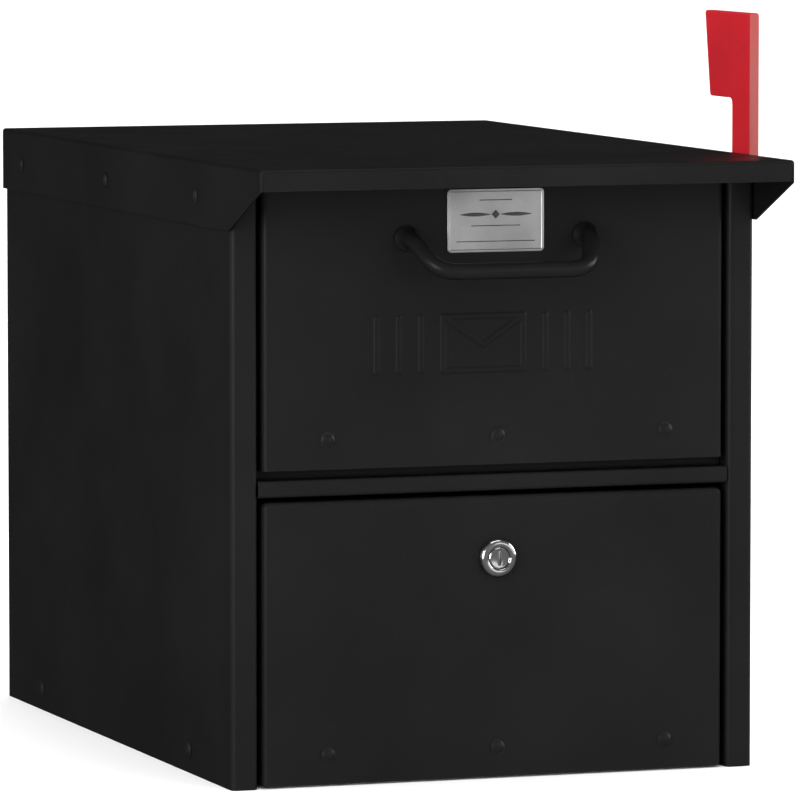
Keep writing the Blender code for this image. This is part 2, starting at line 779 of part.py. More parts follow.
def lock_housing(parent):
    """The lock's fixed shell: a bevelled ring in front of the door and a barrel through it."""
    bore = LOCK_PLUG_RADIUS + GAP
    profile = [
        (bore, LOCK_BEZEL_HEIGHT),
        (LOCK_BEZEL_RADIUS - 0.0022, LOCK_BEZEL_HEIGHT),
        (LOCK_BEZEL_RADIUS - 0.0007, LOCK_BEZEL_HEIGHT - 0.0009),
        (LOCK_BEZEL_RADIUS, LOCK_BEZEL_HEIGHT - 0.0026),
        (LOCK_BEZEL_RADIUS, 0),
        (LOCK_BARREL_RADIUS, 0),
        (LOCK_BARREL_RADIUS, -LOCK_BARREL_END - GAP),
        (bore, -LOCK_BARREL_END - GAP),
    ]
    place = (LOCK_X, FRONT - GAP, LOCK_Z)
    turned("lock_housing", profile, place, FORWARD, CHROME, parent, True, FINE_SIDES)


def lock_nut(parent):
    inside = FRONT + DOOR_SHEET + GAP
    bm = bmesh.new()
    add_rod(bm, (0, 0, 0), (0, 0.0045, 0), 0.0140, 6)
    place = (LOCK_X, inside, LOCK_Z)
    nut = add_piece("lock_nut", mesh_from("lock_nut", bm), ZINC, parent, place)
    drill(nut, [place], FORWARD, LOCK_BARREL_RADIUS + GAP, 0.010, FINE_SIDES)


def lock_plug(parent):
    """The turning part of the lock: plug, cam and the screw that holds the cam."""
    front = LOCK_BEZEL_HEIGHT - 0.0005
    end = -LOCK_BARREL_END
    boss = end - CAM_THICKNESS + GAP
    profile = [
        (0, front),
        (LOCK_PLUG_RADIUS - 0.0004, front),
        (LOCK_PLUG_RADIUS, front - 0.0004),
        (LOCK_PLUG_RADIUS, end),
        (0, end),
    ]
    place = Vector((LOCK_X, FRONT - GAP, LOCK_Z))
    plug = turned("lock_plug", profile, place, FORWARD, CHROME, parent, sides=FINE_SIDES)
    rear = place.y - end
    half = CAM_SQUARE / 2

    def square(bm):
        low = (LOCK_X - half, rear - 0.002, LOCK_Z - half)
        add_box(bm, low, (LOCK_X + half, place.y - boss, LOCK_Z + half))

    combine(plug, "UNION", square)

    def hollows(bm):
        mouth = Vector((0.0009, 0, 0.0042))
        face = Vector((LOCK_X, place.y - front, LOCK_Z))
        add_box(bm, face - mouth + FORWARD * 0.002, face + mouth - FORWARD * 0.014)
        start = Vector((LOCK_X, place.y - boss + 0.002, LOCK_Z))
        add_rod(bm, start, start + FORWARD * 0.010, CAM_SCREW_RADIUS + GAP)

    combine(plug, "DIFFERENCE", hollows)
    cam_y = rear + GAP + CAM_THICKNESS / 2
    reach = CAM_LENGTH - CAM_WIDTH / 2
    hub = 0.0085
    lean = math.degrees(math.acos(CAM_WIDTH / 2 / hub))
    outline = arc((0, 0), hub, 90 - lean, 270 + lean, 12)
    outline += arc((reach, 0), CAM_WIDTH / 2, -90, 90, 8)
    side = half + GAP
    square_hole = [(-side, -side), (side, -side), (side, side), (-side, side)]
    upright = (math.radians(90), 0, 0)
    cam_place = (LOCK_X, cam_y, LOCK_Z)
    flat_plate("lock_cam", [outline, square_hole], CAM_THICKNESS, cam_place, upright, ZINC, parent)
    profile = [
        (0, 0.0080),
        (CAM_SCREW_RADIUS, 0.0080),
        (CAM_SCREW_RADIUS, 0),
        (0.0062, 0),
        (0.0062, -0.0009),
        (0.0040, -0.0010),
        (0.0036, -0.0030),
        (0, -0.0034),
    ]
    seat = cam_y + CAM_THICKNESS / 2 + GAP
    turned("lock_cam_screw", profile, (LOCK_X, seat, LOCK_Z), FORWARD, ZINC, parent)


# Flag


def flag(parent):
    """The signal flag: a broad stem with a blade that widens to the rear."""
    rise = FLAG_PIVOT_Z
    outline = arc((0, 0), FLAG_STEM_HALF, 180, 360, 16)
    corner = 0.0040
    outline += arc(
        (FLAG_STEM_HALF + corner, FLAG_BLADE_BOTTOM - corner), corner, 180, 90, 4
    )
    outline += [
        (FLAG_BLADE_REAR_BOTTOM - FLAG_CORNER, FLAG_BLADE_BOTTOM),
        (FLAG_BLADE_REAR_BOTTOM, FLAG_BLADE_BOTTOM + FLAG_CORNER),
    ]
    outline += arc(
        (FLAG_BLADE_REAR_TOP - FLAG_CORNER, FLAG_TOP - FLAG_CORNER), FLAG_CORNER, 0, 90, 3
    )
    outline += arc((FLAG_CORNER - FLAG_STEM_HALF, FLAG_TOP - FLAG_CORNER), FLAG_CORNER, 90, 180, 3)
    hole = arc((0, 0), FLAG_BOLT_RADIUS + GAP, 0, 360, SIDES)[:-1]
    place = (FLAG_INNER_X + FLAG_THICKNESS / 2, FRONT + FLAG_PIVOT_BACK, rise)
    facing_right = (math.radians(90), 0, math.radians(90))
    flat_plate("flag", [outline, hole], FLAG_THICKNESS, place, facing_right, RED_PLASTIC, parent)


def flag_fittings():
    """The flag's fixed pivot: a bolt through the hood's side and the wall, a nylon spacer and a
    nut."""
    y = FRONT + FLAG_PIVOT_BACK
    seat = FLAG_INNER_X + FLAG_THICKNESS + GAP
    inside = HALF_WIDTH - SHEET - GAP
    bore = FLAG_BOLT_RADIUS + GAP
    end = seat - inside + 0.0075
    head = [
        (0, 0.0034),
        (0.0040, 0.0030),
        (0.0068, 0.0016),
        (0.0075, 0),
        (FLAG_BOLT_RADIUS, 0),
        (FLAG_BOLT_RADIUS, -end),
        (0, -end),
    ]
    turned("flag_pivot_bolt", head, (seat, y, FLAG_PIVOT_Z), RIGHT, ZINC)
    start = HOOD_OUTER + GAP
    height = FLAG_INNER_X - GAP - start
    ring = [(bore, height), (0.0085, height), (0.0085, 0), (bore, 0)]
    turned("flag_spacer", ring, (start, y, FLAG_PIVOT_Z), RIGHT, NYLON, closed=True)
    bm = bmesh.new()
    add_rod(bm, (0, 0, 0), (-0.0050, 0, 0), 0.0058, 6)
    nut = add_piece("flag_pivot_nut", mesh_from("nut", bm), ZINC, None, (inside, y, FLAG_PIVOT_Z))
    drill(nut, [(inside, y, FLAG_PIVOT_Z)], RIGHT, bore, 0.010)


def shell_rivets():
    """The rivets that hold the hood's side flanges and the floor to the walls."""
    hood_face = HOOD_OUTER + GAP
    hood_grip = 2 * SHEET + HOOD_CLEARANCE + 2 * GAP
    base_grip = 2 * SHEET + 3 * GAP
    for name, side in (("left", -1), ("right", 1)):
        for index, back in enumerate(HOOD_RIVETS_BACK):
            place = (side * hood_face, FRONT + back, HOOD_RIVET_Z)
            rivet(f"hood_rivet_{name}_{index + 1}", place, RIGHT * side, hood_grip)
        for index, back in enumerate(BASE_RIVETS_BACK):
            place = (side * (HALF_WIDTH + GAP), FRONT + back, BASE_RIVET_Z)
            rivet(f"base_rivet_{name}_{index + 1}", place, RIGHT * side, base_grip)


def main():
    side_panel("left_side_panel", -1)
    right = side_panel("right_side_panel", 1)
    back_panel()
    bottom_panel()
    roof = hood()
    flag_hole = (HALF_WIDTH, FRONT + FLAG_PIVOT_BACK, FLAG_PIVOT_Z)
    for pierced in (right, roof):
        drill(pierced, [flag_hole], RIGHT, FLAG_BOLT_RADIUS + GAP)
    header_rail()
    centre_rail()
    drop_shelf()
    reach_baffle()
    shell_rivets()
    magnetic_catch()
    for name, pin_z in (("upper", UPPER_PIN_Z), ("lower", LOWER_PIN_Z)):
        hinge_leaf(f"{name}_hinge_fixed_leaf", pin_z, False)
        hinge_pin(f"{name}_hinge_pin", pin_z)
    upper_door(pivot("upper_door_axis", (0, PIN_Y, UPPER_PIN_Z)))
    lower_axis = pivot("lower_door_axis", (0, PIN_Y, LOWER_PIN_Z))
    lower_door(lower_axis)
    plug_axis = pivot("lock_plug_axis", (LOCK_X, FRONT, LOCK_Z))
    carry(plug_axis, lower_axis)
    lock_plug(plug_axis)
    flag_fittings()
    flag(pivot("flag_axis", (FLAG_INNER_X, FRONT + FLAG_PIVOT_BACK, FLAG_PIVOT_Z)))


main()
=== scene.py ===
"""The looks of a parcel drop box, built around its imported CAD.

Metres, in the CAD's own frame: X runs across the front, the doors face -Y and Z is up.
"""

import json
import math

import bmesh
import bpy
from mathutils import Matrix, Vector

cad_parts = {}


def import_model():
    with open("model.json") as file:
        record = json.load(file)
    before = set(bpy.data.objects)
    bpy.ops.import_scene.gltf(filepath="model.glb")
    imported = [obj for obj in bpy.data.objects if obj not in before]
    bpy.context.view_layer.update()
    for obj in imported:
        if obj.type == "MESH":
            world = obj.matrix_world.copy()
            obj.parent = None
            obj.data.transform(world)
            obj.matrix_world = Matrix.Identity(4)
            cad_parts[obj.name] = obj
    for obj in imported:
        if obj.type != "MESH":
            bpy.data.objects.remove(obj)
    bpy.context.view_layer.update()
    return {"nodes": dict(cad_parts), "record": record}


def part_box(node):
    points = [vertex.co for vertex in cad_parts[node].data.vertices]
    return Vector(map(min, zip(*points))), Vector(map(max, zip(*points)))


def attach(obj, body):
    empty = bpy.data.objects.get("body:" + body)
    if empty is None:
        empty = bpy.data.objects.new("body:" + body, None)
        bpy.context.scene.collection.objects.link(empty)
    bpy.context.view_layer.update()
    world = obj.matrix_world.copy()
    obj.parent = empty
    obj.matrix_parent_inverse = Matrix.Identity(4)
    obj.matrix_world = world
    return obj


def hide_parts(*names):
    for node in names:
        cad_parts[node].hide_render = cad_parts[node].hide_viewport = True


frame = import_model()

# Sheet metal
SHEET = 0.0012
DOOR_SHEET = 0.0015
FOLD = 0.0020
WIDE_FOLD = 0.0035  # on the walls and the doors
FOLD_SEGMENTS = 6
CUT_EDGE = 0.0003  # rounding of a sheet's cut edges
GAP = 0.0003

# Hood
HOOD_LIP = 0.0124
HOOD_CORNER = 0.058

# Cabinet
STILE_WIDTH = 0.016
STILE_RETURN = 0.012
REAR_FLANGE = 0.014
HEADER_LEG = 0.016
HEADER_GAP = 0.0037  # over the upper door
RAIL_FACE = 0.0097
RAIL_STEP = 0.0125
RAIL_FLANGE = 0.0195

# Emblem on the upper door
EMBLEM_X = -0.0076
EMBLEM_Z = 0.2530
EMBLEM_RISE = 0.0008
EMBLEM_LINE = 0.0030
EMBLEM_SLOPE = 0.0011  # width of a line's sloping side
EMBLEM_STEP = 0.0006  # of the mesh under it
EMBLEM_MARGIN = 0.003
ENVELOPE_HALF = (0.026, 0.017)
EMBLEM_BARS = (0.0380, 0.0515, 0.0650)

# Handle
HANDLE_RADIUS = 0.0047
HANDLE_BAR_X = 0.0458
HANDLE_FOOT_X = 0.0545
HANDLE_BAR_Z = 0.2965
HANDLE_FOOT_Z = 0.3140
HANDLE_BENDS = (0.006, 0.012, 0.012, 0.006)
HANDLE_SINK = 0.00024  # closes the CAD's gap under the feet
HANDLE_FLARE = (
    (0.0, 0.0069), (0.0004, 0.0075), (0.0015, 0.0075), (0.0019, 0.0071), (0.0028, 0.0064),
    (0.0042, 0.0056), (0.0060, 0.0050), (0.0080, 0.0048),
)

# Name plate
PLATE_CORNER = 0.0022
PLATE_RIM = 0.0013
PLATE_RECESS = 0.0003
PLATE_INLAY = 0.0002  # how far the ornament is let into the plate
PLATE_LINES = ((-0.0030, 0.0150, 0.00030), (-0.0120, 0.0240, 0.00028), (0.0118, 0.0100, 0.00028))

# Rivets and screws
RIVET_HEAD_RADIUS = 0.0045
RIVET_HEAD_HEIGHT = 0.0016
RIVET_SHANK = 0.0020
RIVET_TAIL = 0.0031

# Lock
LOCK_BEZEL_HEIGHT = 0.0045
LOCK_BARREL_RADIUS = 0.0094
LOCK_PLUG_RADIUS = 0.00625
LOCK_SQUARE_HALF = 0.0035
KEYWAY = (0.0018, 0.0084, 0.0110)  # width, height and depth

# Flag
FLAG_STEM_HALF = 0.0142
FLAG_BLADE_BOTTOM = 0.0501
FLAG_REAR_BOTTOM = 0.0493
FLAG_CORNER = 0.0020
FLAG_INNER_CORNER = 0.0040
BOLT_HEAD_HEIGHT = 0.0034
BOLT_HEAD_RADIUS = 0.0075
BOLT_RADIUS = 0.0030
BOLT_SOCKET = 0.0022  # half its width across the flats
BOLT_SIDES = 48
WASHER_BORE = 0.0033
WASHER_EDGE = 0.0004

# Finishes
BLACK = (0.0068, 0.0067, 0.0069)
ORANGE_PEEL = 0.000032  # its depth in the coat

# CAD nodes that keep their own shape, with the edges eased
EASED = ("strike_plate", "magnet", "magnet_housing", "lock_nut", "lock_cam", "flag_pivot_nut")

# Studio light
DOME = (3.3, 0.9)  # at the horizon and overhead
ROOM = (0.150, 0.035)  # in front and behind
FLOOR_SIZE = 90.0
# azimuth, elevation, distance, width, height and radiance of each softbox
SOFTBOXES = {
    "left_box": (-52, 8, 2.6, 1.2, 1.2, 6.8),
    "side_box": (-102, 12, 3.0, 2.0, 1.6, 1.1),
    "front_box": (30, 7, 3.2, 1.8, 1.1, 0.75),
    "top_box": (10, 72, 2.4, 1.6, 1.2, 2.6),
    "right_box": (86, 16, 3.0, 2.6, 1.6, 5.0),
}
LIT_HEIGHT = 0.20  # that of the point they face

# Camera
CAMERA_AZIMUTH = -19.36
CAMERA_ELEVATION = 4.94
CAMERA_PLACE = (-1.4136, -4.0854, 0.5756)
CAMERA_LENS = 322.3

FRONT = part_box("lower_door_panel")[0].y
FLAG_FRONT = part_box("flag")[0].y
FORWARD = Vector((0, -1, 0))
RIGHT = Vector((1, 0, 0))
UP = Vector((0, 0, 1))
scene = bpy.context.scene


# Materials


class Shader:
    """A Principled material with short calls for its nodes."""

    def __init__(self, name, colour, roughness, metallic=0.0, specular=0.5):
        self.material = bpy.data.materials.new(name)
        self.material.use_nodes = True
        self.material.diffuse_color = (*colour, 1.0)
        self.tree = self.material.node_tree
        self.surface = self.tree.nodes["Principled BSDF"]
        self.colour = colour
        self.set("Base Color", (*colour, 1.0))
        self.set("Roughness", roughness)
        self.set("Metallic", metallic)
        self.set("Specular IOR Level", specular)
        self.place = self.node("ShaderNodeTexCoord").outputs["Object"]

    def set(self, socket, value):
        self.surface.inputs[socket].default_value = value

    def node(self, kind, inputs=None, **settings):
        made = self.tree.nodes.new(kind)
        for key, value in settings.items():
            setattr(made, key, value)
        for key, value in (inputs or {}).items():
            if isinstance(value, bpy.types.NodeSocket):
                self.tree.links.new(value, made.inputs[key])
            else:
                made.inputs[key].default_value = value
        return made

    def link(self, output, socket):
        self.tree.links.new(output, self.surface.inputs[socket])

    def noise(self, scale, detail=2.0, roughness=0.5, stretch=None):
        """A noise between 0 and 1. Scale is in cells per metre."""
        place = self.place
        if stretch:
            place = self.node("ShaderNodeMapping", {"Vector": place, "Scale": stretch}).outputs[0]
        made = self.node(
            "ShaderNodeTexNoise",
            {"Vector": place, "Scale": scale, "Detail": detail, "Roughness": roughness},
        )
        return made.outputs["Fac"]

    def math(self, operation, first, second):
        return self.node("ShaderNodeMath", {0: first, 1: second}, operation=operation).outputs[0]

    def ramp(self, value, start, end, low=0.0, high=1.0):
        """Value mapped from start..end to low..high, held at both ends."""
        made = self.node(
            "ShaderNodeMapRange",
            {"Value": value, "From Min": start, "From Max": end, "To Min": low, "To Max": high},
        )
        return made.outputs[0]

    def mix(self, share, first, second):
        made = self.node("ShaderNodeMix", data_type="RGBA")
        for index, value in ((0, share), (6, first), (7, second)):
            if isinstance(value, bpy.types.NodeSocket):
                self.tree.links.new(value, made.inputs[index])
            else:
                made.inputs[index].default_value = value
        return made.outputs[2]

    def edges(self, radius):
        """One on convex and concave edges, falling to zero on flats."""
        rounded = self.node("ShaderNodeBevel", {"Radius": radius}, samples=4).outputs[0]
        true = self.node("ShaderNodeNewGeometry").outputs["Normal"]
        dot = self.node("ShaderNodeVectorMath", {0: rounded, 1: true}, operation="DOT_PRODUCT")
        return self.ramp(self.math("SUBTRACT", 1.0, dot.outputs["Value"]), 0.02, 0.22)

    def bump(self, height, distance, strength, below=None):
        inputs = {"Height": height, "Distance": distance, "Strength": strength}
        if below is not None:
            inputs["Normal"] = below
        return self.node("ShaderNodeBump", inputs).outputs[0]

    def shade(self, factor):
        return tuple(min(1.0, channel * factor) for channel in self.colour) + (1.0,)


def coat(name, colour, roughness, specular, wear=0.5):
    """A sprayed or powdered coat: orange peel, slow ripples of the sheet below, faint cloudy
    variation, and rubbed edges where the coat is thin."""
    made = Shader(name, colour, roughness, specular=specular)
    cloud = made.noise(9.0, 3.0)
    speck = made.noise(420.0, 2.0)
    shade = made.mix(made.ramp(cloud, 0.3, 0.7), made.shade(0.86), made.shade(1.14))
    shade = made.mix(made.ramp(speck, 0.58, 0.75, 0.0, 0.35), shade, made.shade(1.7))
    rubbed = made.math("MULTIPLY", made.edges(0.0011), made.ramp(made.noise(70.0, 4.0), 0.42, 0.66))
    rubbed = made.math("MULTIPLY", rubbed, wear)
    shade = made.mix(rubbed, shade, made.shade(3.2))
    made.link(shade, "Base Color")
    gloss = made.ramp(made.noise(26.0, 4.0, 0.6), 0.3, 0.7, roughness - 0.035, roughness + 0.045)
    made.link(made.math("SUBTRACT", gloss, made.math("MULTIPLY", rubbed, 0.08)), "Roughness")
    ripple = made.bump(made.noise(5.0, 1.0), 0.0011, 0.30)
    made.link(made.bump(made.noise(760.0, 2.0, 0.55), ORANGE_PEEL, 0.55, ripple), "Normal")
    return made.material


def plated(name, colour, roughness, mottle=90.0, grain=None):
    """Bright metal: mottled plating or drawn grain, hairline scratches, lighter in patches along
    edges and corners.
    """
    made = Shader(name, colour, roughness, metallic=1.0)
    patch = made.noise(mottle, 4.0, 0.6)
    tone = made.mix(made.ramp(patch, 0.32, 0.68), made.shade(0.84), made.shade(1.08))
    edge = made.math("MULTIPLY", made.edges(0.0007), made.ramp(made.noise(150.0, 3.0), 0.35, 0.7))
    tone = made.mix(made.math("MULTIPLY", edge, 0.5), tone, made.shade(1.3))
    made.link(tone, "Base Color")
    spread = made.ramp(made.noise(mottle * 0.6, 3.0), 0.3, 0.7, roughness * 0.82, roughness * 1.22)
    scratch = made.noise(260.0, 2.0, 0.5, stretch=grain or (1.0, 1.0, 14.0))
    made.link(made.math("ADD", spread, made.ramp(scratch, 0.6, 0.8, 0.0, 0.10)), "Roughness")
    made.link(made.bump(scratch, 0.000006, 0.4), "Normal")
    return made.material


def moulded(
    name, colour, roughness, pale_and_highlight_tone, texture=520.0, depth=0.00002, specular=0.5, edge=0.0009,
    front_highlight_y=None,
):
    """Moulded plastic: fine skin texture, slow colour drift and paler edges, scuffs that on the
    flag are partly a painted highlight. The last argument, if given, is the Y of a front edge
    painted with a highlight."""
    made = Shader(name, colour, roughness, specular=specular)
    drift = made.noise(14.0, 2.0)
    tone = made.mix(made.ramp(drift, 0.3, 0.7), made.shade(0.9), made.shade(1.08))
    # Paler edges: scuffs, and on the flag partly a painted highlight.
    scuff_and_edge_highlight = made.math("MULTIPLY", made.edges(edge), made.ramp(made.noise(120.0, 4.0), 0.3, 0.7))
    scuff_and_highlight = made.math("MULTIPLY", scuff_and_edge_highlight, 0.7)
    # A painted highlight: a pale, streaky strip along the front edge.
    if front_highlight_y is not None:
        depth_in = made.node("ShaderNodeSeparateXYZ", {0: made.place}).outputs["Y"]
        front = made.ramp(depth_in, front_highlight_y + 0.0002, front_highlight_y + 0.0012, 1.0, 0.0)
        highlight_streak = made.ramp(made.noise(60.0, 3.0, stretch=(1.0, 1.0, 0.2)), 0.2, 0.6, 0.6, 1.0)
        scuff_and_highlight = made.math("MAXIMUM", scuff_and_highlight, made.math("MULTIPLY", front, highlight_streak))
    tone = made.mix(scuff_and_highlight, tone, (*pale_and_highlight_tone, 1.0))
    made.link(tone, "Base Color")
    gloss = made.ramp(made.noise(45.0, 3.0), 0.3, 0.7, roughness - 0.04, roughness + 0.06)
    made.link(gloss, "Roughness")
    flow = made.bump(made.noise(11.0, 1.0), 0.0005, 0.2)
    made.link(made.bump(made.noise(texture, 2.0, 0.5), depth, 0.5, flow), "Normal")
    return made.material


POWDER = coat("satin_powder_coat", BLACK, 0.38, specular=0.094)
HANDLE_COAT = coat("cast_handle_coat", BLACK, 0.32, specular=0.14, wear=0.8)
RIVET_COAT = coat("coated_rivet", BLACK, 0.36, specular=0.16, wear=0.9)
ZINC = plated("zinc_plate", (0.56, 0.57, 0.58), 0.36, mottle=140.0)
CHROME = plated("bright_chrome", (0.80, 0.80, 0.81), 0.13, mottle=60.0)
PLATE = plated("brushed_plate", (0.88, 0.88, 0.89), 0.36, mottle=30.0, grain=(0.6, 8.0, 22.0))
# The flag's pale tone, wide edge mask and front Y paint a highlight along its edges and front edge.
RED = moulded(
    "red_plastic", (0.345, 0.0036, 0.0096), 0.40, (0.245, 0.060, 0.056), specular=0.13, edge=0.0024,
    front_highlight_y=FLAG_FRONT,
)
BLACK_PLASTIC = moulded("black_plastic", (0.022, 0.022, 0.023), 0.52, (0.07, 0.07, 0.07))
NYLON = moulded("natural_nylon", (0.72, 0.70, 0.64), 0.46, (0.76, 0.75, 0.71))
FERRITE = moulded("ferrite", (0.050, 0.049, 0.052), 0.58, (0.12, 0.12, 0.12), 900.0, 0.00004)
INK = moulded("dark_enamel", (0.030, 0.030, 0.034), 0.32, (0.10, 0.10, 0.10))
SLOT_MATERIALS = {
    "powder_coat": POWDER, "handle_coat": HANDLE_COAT, "coated_rivet": RIVET_COAT,
    "zinc_steel": ZINC, "chrome": CHROME, "plate_metal": PLATE, "red_plastic": RED,
    "black_plastic": BLACK_PLASTIC, "nylon": NYLON, "ferrite": FERRITE,
}


# Shapes


def add_piece(name, bm, slot, body, *replaced, material=None, sharp=None):
    """A mesh piece on a CAD body, in place of the CAD nodes named last."""
    bmesh.ops.recalc_face_normals(bm, faces=bm.faces)
    mesh = bpy.data.meshes.new(name)
    bm.to_mesh(mesh)
    bm.free()
    mesh.shade_smooth()
    if sharp:
        mesh.set_sharp_from_angle(angle=math.radians(sharp))
    mesh.materials.append(material or SLOT_MATERIALS[slot])
    piece = bpy.data.objects.new(name, mesh)
    scene.collection.objects.link(piece)
    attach(piece, body)
    if replaced:
        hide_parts(*replaced)
    return piece


def round_edges(piece, width, segments, limit=None):
    """Rounds the edges sharper than the limit in degrees or, without a limit, the marked ones."""
    bevel = piece.modifiers.new("Round", "BEVEL")
    bevel.width = width
    bevel.segments = segments
    bevel.limit_method = "ANGLE" if limit else "WEIGHT"
    if limit:
        bevel.angle_limit = math.radians(limit)
    bevel.use_clamp_overlap = False


def weigh_normals(piece):
    weighted = piece.modifiers.new("Flats", "WEIGHTED_NORMAL")
    weighted.keep_sharp = True
    weighted.weight = 80


def make_sheet(piece, thickness, folded):
    """Folds an open surface unless that is done, thickens it inwards and eases its cut edges."""
    if not folded:
        round_edges(piece, FOLD, FOLD_SEGMENTS, 35)
    solidify = piece.modifiers.new("Thickness", "SOLIDIFY")
    solidify.thickness = thickness
    solidify.offset = -1
    solidify.use_even_offset = True
    solidify.bevel_convex = 0.0 if folded else 1.0
    round_edges(piece, CUT_EDGE, 2)
    weigh_normals(piece)
    return piece


def face_outwards(bm, probe, outside):
    """Turns all faces so that the face next to the probe vertex looks outside."""
    bmesh.ops.recalc_face_normals(bm, faces=bm.faces)
    face = probe.link_faces[0]
    face.normal_update()
    if face.normal.dot(Vector(outside)) < 0:
        bmesh.ops.reverse_faces(bm, faces=bm.faces)


def sheet_piece(name, bm, slot, body, *replaced, thickness=SHEET, folded=False):
    mesh = bpy.data.meshes.new(name)
    bm.edges.index_update()
    cut_edges = [float(edge.is_boundary) for edge in bm.edges]
    bm.to_mesh(mesh)
    bm.free()
    mesh.attributes.new("bevel_weight_edge", "FLOAT", "EDGE").data.foreach_set("value", cut_edges)
    mesh.shade_smooth()
    mesh.materials.append(SLOT_MATERIALS[slot])
    piece = bpy.data.objects.new(name, mesh)
    scene.collection.objects.link(piece)
    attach(piece, body)
    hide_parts(*replaced)
    return make_sheet(piece, thickness, folded)


def fold_corners(points, radii):
    """An open outline whose inner corners are turned into folds of the given radii."""
    outline = [Vector(points[0])]
    for before, corner, after, radius in zip(points, points[1:], points[2:], radii):
        corner = Vector(corner)
        back = (Vector(before) - corner).normalized()
        ahead = (Vector(after) - corner).normalized()
        centre = corner + (back + ahead) * radius
        for step in range(FOLD_SEGMENTS + 1):
            angle = math.pi / 2 * step / FOLD_SEGMENTS
            outline.append(centre - (ahead * math.cos(angle) + back * math.sin(angle)) * radius)
    return outline + [Vector(points[-1])]


def swept_sheet(name, points, radii, along, start, end, outside, *replaced):
    """A folded sheet with the same outline all along X or Z."""
    outline = fold_corners(points, radii)
    bm = bmesh.new()
    rows = []
    for place in (start, end):
        if along == "X":
            rows.append([bm.verts.new((place, a, b)) for a, b in outline])
        else:
            rows.append([bm.verts.new((a, b, place)) for a, b in outline])
    near, far = rows
    for index in range(len(outline) - 1):
        bm.faces.new((near[index], near[index + 1], far[index + 1], far[index]))
    face_outwards(bm, near[0], outside)
    return sheet_piece(name, bm, "powder_coat", "cabinet", *replaced, folded=True)


def turned_to(place, facing):
    """The matrix that puts an upright shape at a place, with its top facing a direction."""
    return Matrix.Translation(place) @ UP.rotation_difference(facing).to_matrix().to_4x4()


def lathe(bm, profile, place, facing, sides=48, ring=False):
    """A turned solid. The profile lists (radius, height along facing) from its outer end."""
    turn = turned_to(place, facing)
    rows = []
    for radius, height in profile:
        if radius == 0:
            rows.append([bm.verts.new(turn @ Vector((0, 0, height)))])
            continue
        row = []
        for index in range(sides):
            angle = 2 * math.pi * index / sides
            spoke = Vector((radius * math.cos(angle), radius * math.sin(angle), height))
            row.append(bm.verts.new(turn @ spoke))
        rows.append(row)
    pairs = list(zip(rows, rows[1:]))
    if ring:
        pairs.append((rows[-1], rows[0]))
    for upper, lower in pairs:
        for index in range(sides):
            after = (index + 1) % sides
            corners = [upper[index % len(upper)], upper[after % len(upper)]]
            corners += [lower[after % len(lower)], lower[index % len(lower)]]
            bm.faces.new(list(dict.fromkeys(corners)))
    return rows


def arc(centre, radius, start, end, steps):
    """Points along an arc, from one angle to the other in degrees."""
    points = []
    for step in range(steps + 1):
        angle = math.radians(start + (end - start) * step / steps)
        points.append((centre[0] + radius * math.cos(angle), centre[1] + radius * math.sin(angle)))
    return points


def extruded(bm, outline, to_world, depth):
    """A flat closed shape, with its outline mapped by to_world(a, b, height)."""
    near = [bm.verts.new(to_world(a, b, 0.0)) for a, b in outline]
    far = [bm.verts.new(to_world(a, b, depth)) for a, b in outline]
    count = len(outline)
    bm.faces.new(near)
    top = bm.faces.new(list(reversed(far)))
    for index in range(count):
        after = (index + 1) % count
        bm.faces.new((near[index], far[index], far[after], near[after]))
    return top


def rounded_rectangle(half_a, half_b, corner, steps=6):
    points = []
    for index, (a, b) in enumerate(((1, 1), (-1, 1), (-1, -1), (1, -1))):
        centre = (a * (half_a - corner), b * (half_b - corner))
        points += arc(centre, corner, 90 * index, 90 * index + 90, steps)
    return points


def cut(piece, fill):
    """Cuts from a piece the solid that fill(bm) makes, and keeps only the result."""
    bm = bmesh.new()
    fill(bm)
    mesh = bpy.data.meshes.new("cutter")
    bm.to_mesh(mesh)
    bm.free()
    cutter = bpy.data.objects.new("cutter", mesh)
    scene.collection.objects.link(cutter)
    boolean = piece.modifiers.new("Cut", "BOOLEAN")
    boolean.operation = "DIFFERENCE"
    boolean.object = cutter
    bpy.context.view_layer.update()
    evaluated = piece.evaluated_get(bpy.context.evaluated_depsgraph_get())
    made = bpy.data.meshes.new_from_object(evaluated)
    piece.modifiers.clear()
    piece.data = made
    bpy.data.objects.remove(cutter)
    made.shade_smooth()
    made.set_sharp_from_angle(angle=math.radians(32))


def add_block(bm, low, high):
    low, high = Vector(low), Vector(high)
    shape = Matrix.Translation((low + high) / 2) @ Matrix.Diagonal((*(high - low), 1))
    bmesh.ops.create_cube(bm, size=1, matrix=shape)


# Cabinet


def hood():
    low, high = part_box("hood")
    corner_y = low.y + HOOD_CORNER
    bm = bmesh.new()
    ends = []
    for x in (low.x, high.x):
        places = [
            (low.y, high.z), (high.y, high.z), (high.y, low.z), (corner_y, low.z),
            (low.y, high.z - HOOD_LIP),
        ]
        ends.append([bm.verts.new((x, y, z)) for y, z in places])
        bm.faces.new(ends[-1])
    left, right = ends
    for first, second in ((0, 1), (1, 2), (4, 0)):
        bm.faces.new((left[first], left[second], right[second], right[first]))
    face_outwards(bm, left[0], (-1, -1, 1))
    sheet_piece("hood_shell", bm, "powder_coat", "cabinet", "hood")


def walls():
    for name, side in (("left", -1), ("right", 1)):
        low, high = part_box(f"{name}_side_panel")
        outer = side * max(abs(low.x), abs(high.x))
        outline = [
            (outer - side * REAR_FLANGE, high.y),
            (outer, high.y),
            (outer, low.y),
            (outer - side * STILE_WIDTH, low.y),
            (outer - side * STILE_WIDTH, low.y + STILE_RETURN),
        ]
        swept_sheet(
            f"{name}_wall", outline, (WIDE_FOLD,) * 3, "Z", low.z, high.z, (0, 1, 0),
            f"{name}_side_panel",
        )


